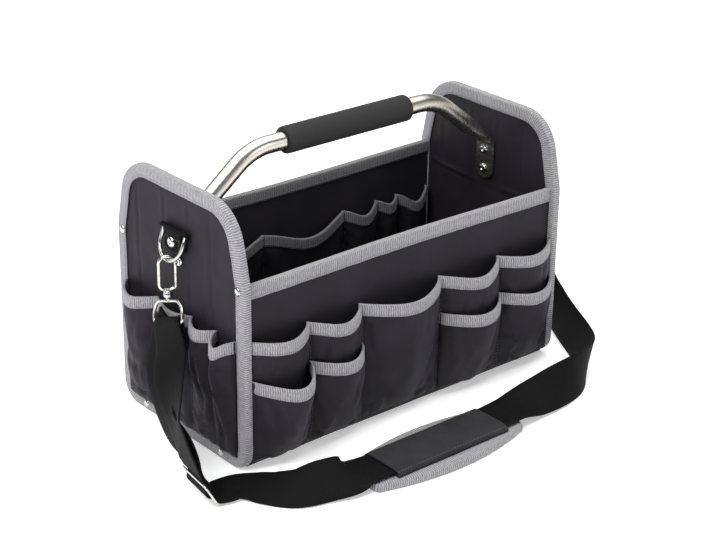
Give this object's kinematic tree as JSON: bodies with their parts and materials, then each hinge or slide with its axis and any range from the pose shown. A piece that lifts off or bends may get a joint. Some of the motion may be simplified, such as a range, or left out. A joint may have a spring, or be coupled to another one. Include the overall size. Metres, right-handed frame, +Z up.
{
  "type": "open top tool tote",
  "caption": "Open top tool tote with a bent tube handle, foam grip, rows of outer and inner pockets, and a clipped shoulder strap with a pad lying in front",
  "frame": {"origin": "on the floor under the middle of the bag", "axes": "X along the bag to its right end, -Y towards the front with the double pockets and the strap pad, Z up"},
  "size_m": [0.5682, 0.3326, 0.2875],
  "materials": {
    "cloth": "matt woven polyester",
    "tape": "ribbed edge tape",
    "webbing": "twill webbing",
    "steel": "satin",
    "foam": "matt foam",
    "chrome": "polished"
  },
  "bodies": {
    "tote": {"base_panel": "cloth", "front_panel": "cloth", "back_panel": "cloth", "front_rim_binding": "tape", "back_rim_binding": "tape", "front_upper_left_pockets": "cloth", "front_upper_middle_pockets": "cloth", "front_upper_right_pockets": "cloth", "front_upper_pocket_binding": "tape", "front_lower_left_pockets": "cloth", "front_lower_left_pocket_binding": "tape", "front_lower_right_pockets": "cloth", "front_lower_right_pocket_binding": "tape", "back_left_pockets": "cloth", "back_middle_pockets": "cloth", "back_right_pockets": "cloth", "back_pocket_binding": "tape", "left_end_pockets": "cloth", "left_end_pocket_binding": "tape", "right_end_pockets": "cloth", "right_end_pocket_binding": "tape", "inner_left_pockets": "cloth", "inner_middle_pockets": "cloth", "inner_right_pockets": "cloth", "inner_pocket_binding": "tape", "handle_tube": "steel", "foam_grip": "foam", "left_end_panel": "cloth", "left_end_binding": "tape", "left_upper_bolt": "chrome", "left_lower_bolt": "chrome", "left_rivet_1": "chrome", "left_rivet_2": "chrome", "left_rivet_3": "chrome", "left_rivet_4": "chrome", "left_ring_tab": "webbing", "left_d_ring": "chrome", "left_hook_body": "chrome", "left_swivel_loop": "chrome", "right_end_panel": "cloth", "right_end_binding": "tape", "right_upper_bolt": "chrome", "right_lower_bolt": "chrome", "right_rivet_1": "chrome", "right_rivet_2": "chrome", "right_rivet_3": "chrome", "right_rivet_4": "chrome", "right_ring_tab": "webbing", "right_d_ring": "chrome", "right_hook_body": "chrome", "right_swivel_loop": "chrome", "strap_webbing": "webbing", "strap_slider": "chrome", "pad_base": "cloth", "pad_binding": "tape", "pad_sleeve": "cloth"},
    "left_gate": {"left_hook_gate": "chrome"},
    "right_gate": {"right_hook_gate": "chrome"}
  },
  "joints": [
    {"name": "left_gate_hinge", "type": "hinge", "parent": "tote", "child": "left_gate", "pos_m": [-0.20698, -0.00385, 0.1649], "axis": [-0.5, -0.866, 0], "range_deg": [0, 25], "stiffness_Nm_per_rad": 0.003, "springref_deg": -11.46},
    {"name": "right_gate_hinge", "type": "hinge", "parent": "tote", "child": "right_gate", "pos_m": [0.20698, -0.00385, 0.1649], "axis": [-0.5, 0.866, 0], "range_deg": [0, 25], "stiffness_Nm_per_rad": 0.003, "springref_deg": -11.46}
  ]
}
